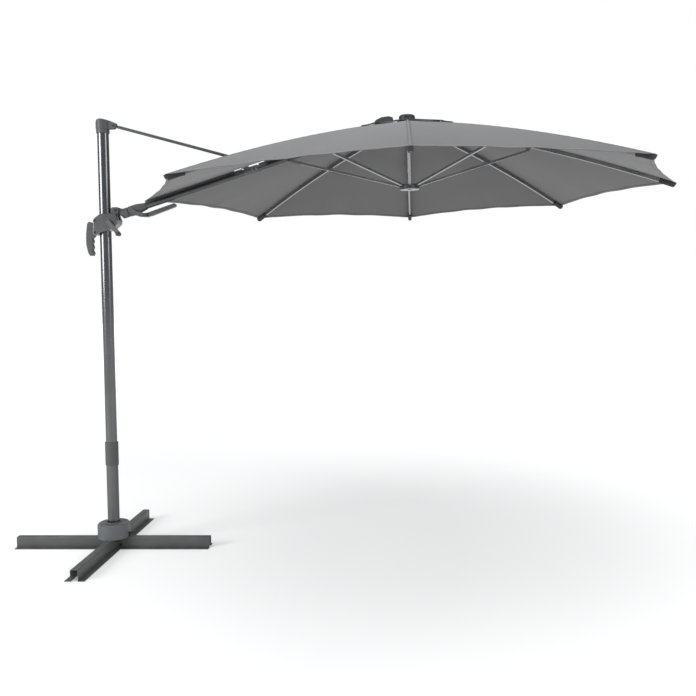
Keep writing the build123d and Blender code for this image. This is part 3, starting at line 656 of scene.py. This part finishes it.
def goreSurface(index, settings):
    # each point is (1 - s) of this ridge and s of the next at the same distance, lowered between ribs by
    # sag x sin squared of pi s x sine of the progress to the power 0.8. The rim's distance falls as 4 s (1 - s).
    # A raised seam, its pucker, a rim ripple and small folds at the tip are added along the canopy's up
    outer = skeleton["ribLength"] + settings["overhang"]
    inner = settings["inner"]
    fixedRows = [inner, inner + settings["innerHem"] - 0.001, inner + settings["innerHem"]]
    fixedRows += [outer - settings["hem"], outer - settings["hem"] + 0.0015, outer - 0.002, outer]
    low, high = settings["slot"]
    band = settings["slotBinding"]
    fixedRows += [low - band, low, high, high + band]
    x = np.unique(np.round(np.concatenate([np.linspace(inner, outer, settings["rows"]), fixedRows]), 5))
    near = [0, 0.0035, settings["seam"], settings["seam"] + 0.0014, 0.013]
    near = np.array(near + [settings["slotHalf"], settings["slotHalf"] + band])
    sides = []
    for step in (-1, 1):
        spacing = np.linalg.norm(ridge(index, x) - ridge(index + step, x), axis=1)
        share = near[None, :] / spacing[:, None]
        reach = np.linspace(0, 1, settings["columns"] + 1)[1:]
        rest = share[:, -1:] + (0.5 - share[:, -1:]) * reach[None, :] ** 0.9
        share = np.concatenate([share, rest], 1)
        distance = share * spacing[:, None]
        dip = 1 - settings["rimDip"] * 4 * share * (1 - share)
        along = inner + (x[:, None] - inner) * (outer * dip - inner) / (outer - inner)
        points = (1 - share[..., None]) * ridge(index, along) + share[..., None] * ridge(index + step, along)
        progress = (x[:, None] - inner) / (outer - inner)
        crosswise = np.sin(np.pi * share) ** 2
        drop = settings["sag"] * crosswise * np.sin(np.pi * np.clip(progress, 0, 1)) ** 0.8
        panel = (index + (0 if step > 0 else -1)) % len(directions)
        ripple = settings["rippleHeight"] * np.cos(2 * np.pi * share * (4 + panel % 2)) * crosswise * progress**10
        tipIn, tipOut = settings["tipFoldReach"]
        tip = np.exp(-(outer - x[:, None]) / tipIn) * np.sin(distance / settings["tipFoldWave"])
        tip = tip * np.exp(-distance / tipOut)
        welt = settings["seamLift"] * (distance < settings["seam"] + settings["margin"])
        pucker = settings["puckerHeight"] * np.sin(x[:, None] / settings["puckerWave"] + index)
        pucker = pucker * np.exp(-distance / settings["puckerReach"])
        lift = welt + pucker + ripple + settings["tipFolds"] * tip * (distance > 0.0001) - drop
        points = points + hubUp * lift[..., None]
        fromRim = (outer - x)[:, None] + 0 * share
        sides.append((points, np.stack([step * distance, fromRim], -1), share, distance))
    points = np.concatenate([sides[0][0][:, :0:-1], sides[1][0]], 1)
    uv = np.concatenate([sides[0][1][:, :0:-1], sides[1][1]], 1)
    distance = np.concatenate([sides[0][3][:, :0:-1], sides[1][3]], 1)
    return points, uv, distance, x


def makeGore(index, settings):
    name = directions[index]
    points, uv, distance, x = goreSurface(index, settings)
    outer = x[-1]
    low, high = settings["slot"]
    half, band = settings["slotHalf"], settings["slotBinding"]
    keep = None
    double = (distance <= settings["seam"] + 0.0002) | (x[:, None] >= outer - settings["hem"])
    double |= x[:, None] <= settings["inner"] + settings["innerHem"]
    if index == skeleton["boomIndex"]:
        middleX = (x[:-1] + x[1:]) / 2
        middleD = (distance[:, :-1] + distance[:, 1:])[:-1] / 2
        inSlot = (middleX > low) & (middleX < high)
        keep = ~(inSlot[:, None] & (middleD < half - settings["margin"]))
        bound = (x > low - band - settings["margin"]) & (x < high + band + settings["margin"])
        double |= bound[:, None] & (distance < half + band + settings["margin"])
    piece, used = gridMesh(f"gore_{name}", points, keep, uv, hubUp)
    sharpenBorder(piece.data)
    layers = np.where(double, 1.0, settings["single"]).ravel()[used]
    thicken(piece, layers, settings["thickness"])
    return piece


ventCap = {
    "inner": 0.054,
    "outer": 0.256,
    "rimDip": 0.03,
    "innerHeight": 0.020,
    "outerHeight": -0.017,
    "boomLineHeight": 0.008,
    "rows": 22,
    "columns": 10,
    "hem": 0.012,
    "cutHalf": 0.022,
    "cutOuter": 0.214,
    "cutShare": 0.47,  # most of a panel's half width that the cut's columns may take
    "cutColumns": 4,
    "slack": 0.0025,
    "uvInset": (0.02, 0.004),  # moves the stitch lines off the ridge and the rim
}


def ventCapSurface(index, settings):
    # a shallow cone between two radii: straight between the corners over two ribs, pulled in and down between them
    r = np.linspace(settings["inner"], settings["outer"], settings["rows"])
    extra = [settings["outer"] - settings["hem"], settings["outer"] - settings["hem"] + 0.001, settings["cutOuter"]]
    r = np.unique(np.round(np.concatenate([r, extra]), 5))
    progress = (r - settings["inner"]) / (settings["outer"] - settings["inner"])

    def corner(which):
        onBoomLine = which % len(directions) in (0, skeleton["boomIndex"])
        edge = settings["boomLineHeight"] if onBoomLine else settings["outerHeight"]
        height = settings["innerHeight"] + (edge - settings["innerHeight"]) * progress
        return hubCentre + outward(which) * r[:, None] + hubUp * height[:, None]

    sides = []
    for step in (-1, 1):
        spacing = np.linalg.norm(corner(index) - corner(index + step), axis=1)
        cut = np.minimum(settings["cutHalf"] / spacing, settings["cutShare"])[:, None]
        first = cut * np.linspace(0, 1, settings["cutColumns"] + 1)[None, :]
        rest = cut + (0.5 - cut) * np.linspace(0, 1, settings["columns"])[None, 1:]
        share = np.concatenate([first, rest], 1)
        weight = share[..., None]
        points = (1 - weight) * corner(index)[:, None] + weight * corner(index + step)[:, None]
        slack = np.sin(np.pi * share) ** 2 * progress[:, None]
        points = points - (points - hubCentre) * (settings["rimDip"] * slack)[..., None]
        points = points - hubUp * (settings["slack"] * slack * np.sin(np.pi * progress)[:, None])[..., None]
        insetAcross, insetIn = settings["uvInset"]
        across = step * (share * spacing[:, None] + insetAcross)
        fromRim = (settings["outer"] - r)[:, None] + insetIn + 0 * share
        sides.append((points, np.stack([across, fromRim], -1), share * spacing[:, None]))
    points = np.concatenate([sides[0][0][:, :0:-1], sides[1][0]], 1)
    uv = np.concatenate([sides[0][1][:, :0:-1], sides[1][1]], 1)
    distance = np.concatenate([sides[0][2][:, :0:-1], sides[1][2]], 1)
    return points, uv, distance, r


def makeVentCap(index, settings):
    points, uv, distance, r = ventCapSurface(index, settings)
    keep = None
    if index == skeleton["boomIndex"]:
        middleR = (r[:-1] + r[1:]) / 2
        columnCount = points.shape[1]
        centre = columnCount // 2
        column = np.arange(columnCount - 1)
        inCut = (column >= centre - settings["cutColumns"]) & (column < centre + settings["cutColumns"])
        keep = ~((middleR < settings["cutOuter"])[:, None] & inCut[None, :])
    piece, used = gridMesh(f"ventCap_{directions[index]}", points, keep, uv, hubUp)
    sharpenBorder(piece.data)
    double = np.broadcast_to(r[:, None] >= settings["outer"] - settings["hem"], distance.shape)
    thicken(piece, np.where(double, 1.0, 0.5).ravel()[used], gore["thickness"])
    return piece


pocket = {
    "length": 0.086,
    "beyond": 0.0085,
    "halfWidth": 0.0125,
    "depth": 0.0265,
    "top": 0.0125,
    "thickness": 0.0012,
    "tipRound": 0.016,
    "tipNarrow": 0.45,  # share of the width that closes at the tip
    "smallest": 0.0004,
    "flare": 0.06,
    "flareReach": 0.05,
    "squareness": 0.55,  # power of sine and cosine in the section
    "uvWidth": 0.02,
}


def makePocket(index, settings):
    # half a superellipse under the rib's end: sine and cosine of the turn to the power 'squareness', with depth and
    # part of the width closing as a quarter circle at the tip, and a mouth that flares as a falling exponential
    length = skeleton["ribLength"]
    along = np.linspace(0, 1, 26)
    x = length - settings["length"] + (settings["length"] + settings["beyond"]) * along
    tipRound, power = settings["tipRound"], settings["squareness"]
    closing = np.clip((x - (length + settings["beyond"] - tipRound)) / tipRound, 0, 1)
    size = np.sqrt(np.clip(1 - closing**2, settings["smallest"], 1))
    mouth = 1 + settings["flare"] * np.exp(-along / settings["flareReach"])
    turn = np.linspace(-np.pi / 2, np.pi / 2, 29)
    acrossShape = np.sign(np.sin(turn)) * np.abs(np.sin(turn)) ** power
    downShape = np.cos(turn) ** power
    narrow = settings["tipNarrow"]
    y = settings["halfWidth"] * (mouth * (1 - narrow + narrow * size))[:, None] * acrossShape[None, :]
    z = settings["top"] - settings["depth"] * (mouth * size)[:, None] * downShape[None, :]
    z = z + ribBowAt(np.minimum(x, length))[:, None]
    pivot, direction, above = ribAxes(index)
    side = sideways(index)
    points = pivot + direction * x[:, None, None] + side * y[..., None] + above * z[..., None]
    uv = np.stack([np.broadcast_to(turn * settings["uvWidth"], y.shape), np.broadcast_to(x[:, None], y.shape)], -1)
    piece, _ = gridMesh(f"cornerPocket_{directions[index]}", points, None, uv, -above)
    sharpenBorder(piece.data)
    modifier = piece.modifiers.new("webbingThickness", "SOLIDIFY")
    modifier.thickness = settings["thickness"]
    modifier.offset = 0
    piece.data.materials.append(pocketWebbing)
    return piece


for index, name in enumerate(directions):
    body = "boom" if name == "left" else f"rib_{name}"
    cloth = makeGore(index, gore)
    cap = makeVentCap(index, ventCap)
    extras = [] if name == "left" else [makePocket(index, pocket)]
    clothArea, capArea = meshArea(cloth.data), meshArea(cap.data)
    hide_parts(f"canopy_gore_{name}")
    for piece in [cloth, cap] + extras:
        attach(piece, body)
    for piece in (cloth, cap):
        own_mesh(piece)
print("canopy made")

pullCord = {
    "top": -0.028,
    "bottomAboveRunner": 0.012,
    "radius": 0.003,
    "around": 16,
    "along": 60,
    "braidDepth": 0.05,
    "braidStarts": 3,
    "braidPitch": 0.012,
    "weld": 0.00005,
}


def makePullCord(settings):
    # a tube: a circle carried down a straight line, its radius 1 + depth x sine of (starts x turn + length / pitch),
    # closed to a point at both ends
    runnerDrop = 2 * skeleton["strutLength"] * foldSin
    top = hubCentre + hubUp * settings["top"]
    bottom = hubCentre - hubUp * (runnerDrop - settings["bottomAboveRunner"])
    length = np.linalg.norm(top - bottom)
    share = np.linspace(0, 1, settings["along"])
    turn = np.linspace(0, 2 * np.pi, settings["around"] + 1)
    twist = 2 * np.pi * share[:, None] * length / settings["braidPitch"]
    braid = 1 + settings["braidDepth"] * np.sin(settings["braidStarts"] * turn[None, :] + twist)
    radius = settings["radius"] * braid * np.where((share == 0) | (share == 1), 0.0, 1)[:, None]
    side = np.array([0.0, 1.0, 0.0])
    centre = top + (bottom - top) * share[:, None]
    ring = hubAcross * np.cos(turn)[:, None] + side * np.sin(turn)[:, None]
    points = centre[:, None] + ring[None] * radius[..., None]
    around = np.broadcast_to(turn * settings["radius"], radius.shape)
    uv = np.stack([around, np.broadcast_to(share[:, None] * length, radius.shape)], -1)
    piece, _ = gridMesh("pullCord", points, None, uv)
    merge = piece.modifiers.new("closeSeam", "WELD")
    merge.merge_threshold = settings["weld"]
    piece.data.materials.append(cordBraid)
    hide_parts("pull_cord")
    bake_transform(piece)


makePullCord(pullCord)
print("cord made")
